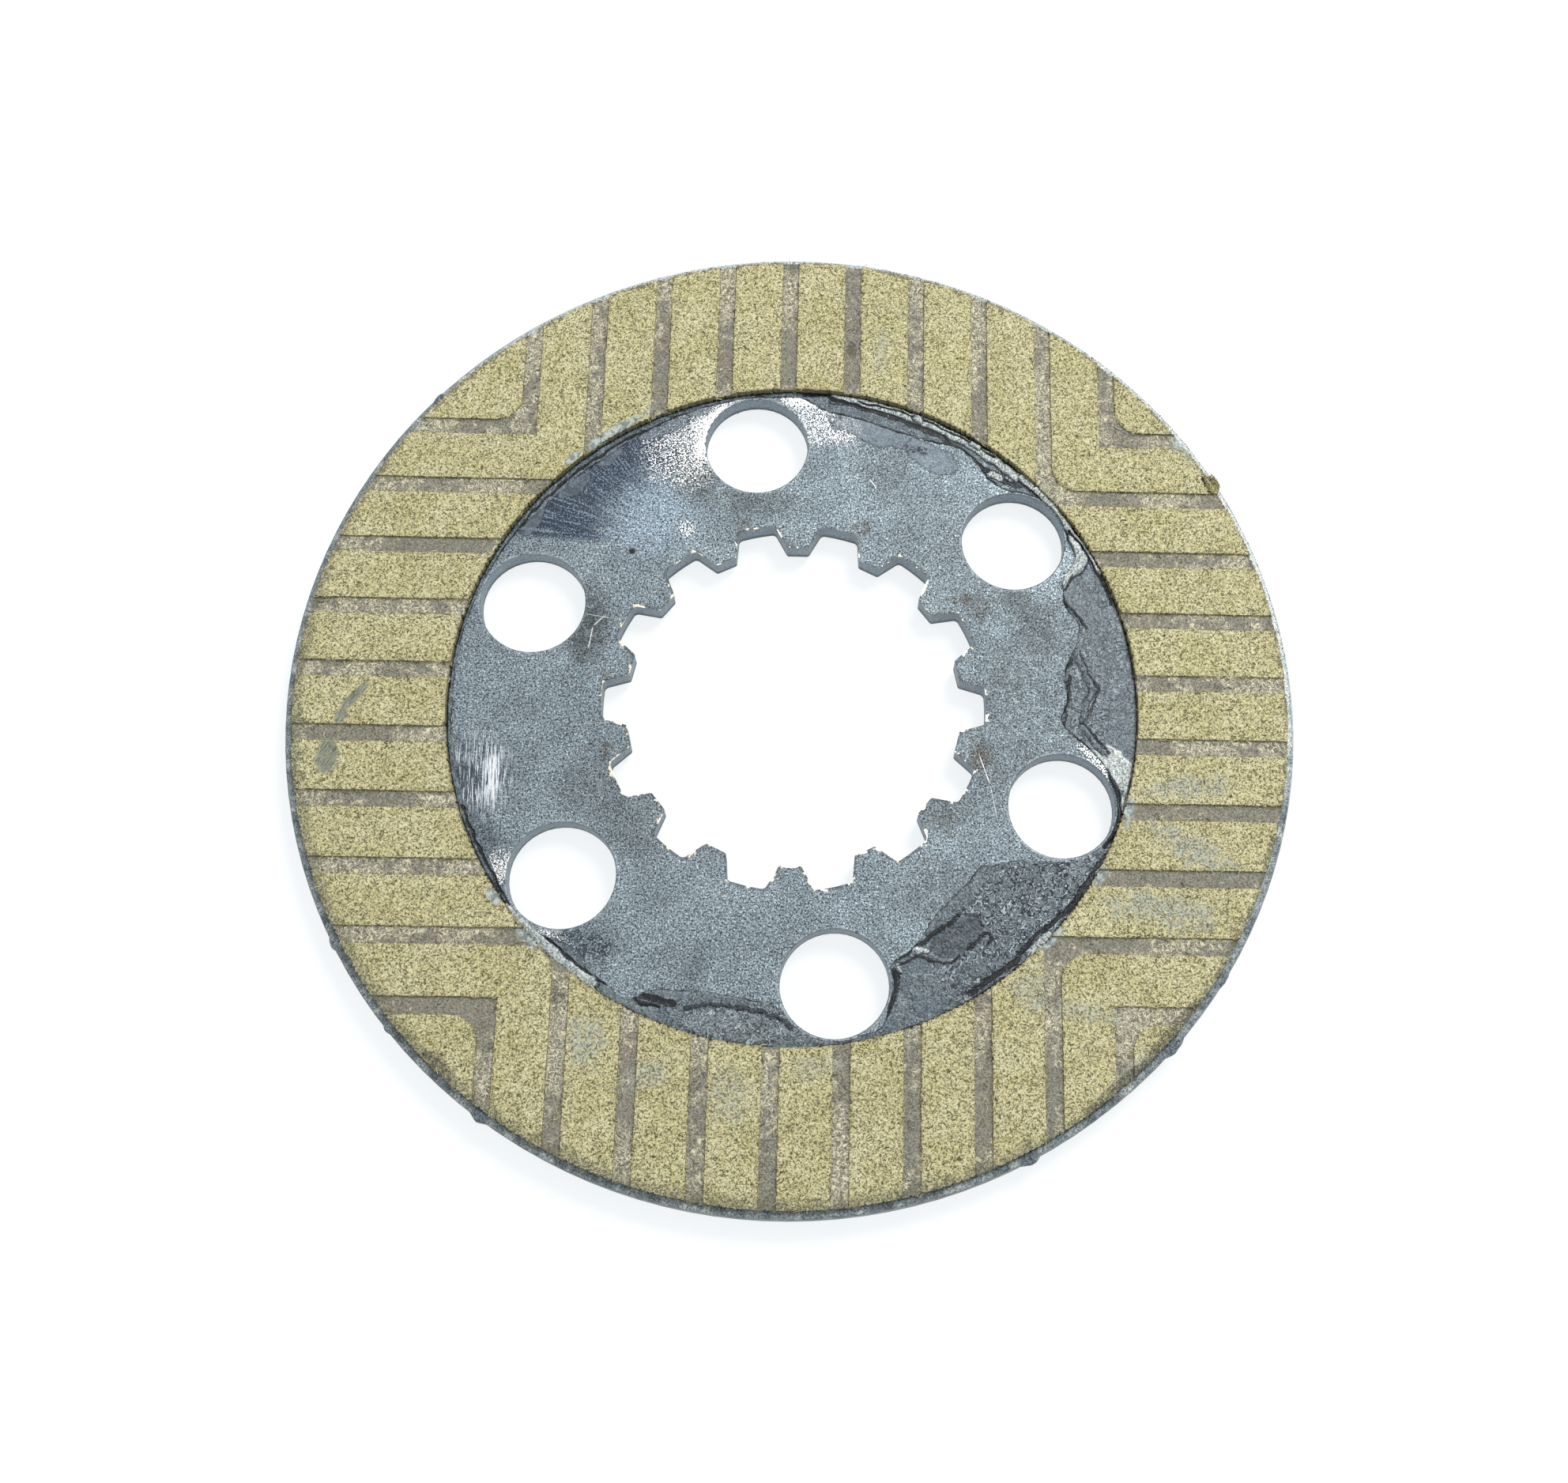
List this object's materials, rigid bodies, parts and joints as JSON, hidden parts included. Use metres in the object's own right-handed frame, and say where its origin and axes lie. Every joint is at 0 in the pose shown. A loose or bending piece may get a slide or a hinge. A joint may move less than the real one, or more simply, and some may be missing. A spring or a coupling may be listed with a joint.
{
  "type": "brake disc",
  "caption": "Round wet-brake friction disc: internally splined steel plate with oil holes and a grooved paper lining bonded to each side.",
  "frame": {"origin": "centre of the splined bore, halfway through the steel plate's thickness", "axes": "+Z along the disc's axis, out of the lining that shows in the picture; +Y through a tooth of the spline; X and Y along the grooves"},
  "size_m": [0.165, 0.165, 0.007],
  "materials": {
    "plate_steel": "worn bright steel with stains and fine scratches",
    "friction_paper": "olive-yellow fibrous friction paper, oil-stained in its grooves",
    "adhesive": "thin glossy grey film of dried resin"
  },
  "bodies": {
    "root": {"core_plate": "plate_steel", "upper_lining": "friction_paper", "lower_lining": "friction_paper", "upper_adhesive": "adhesive", "lower_adhesive": "adhesive"}
  },
  "joints": []
}
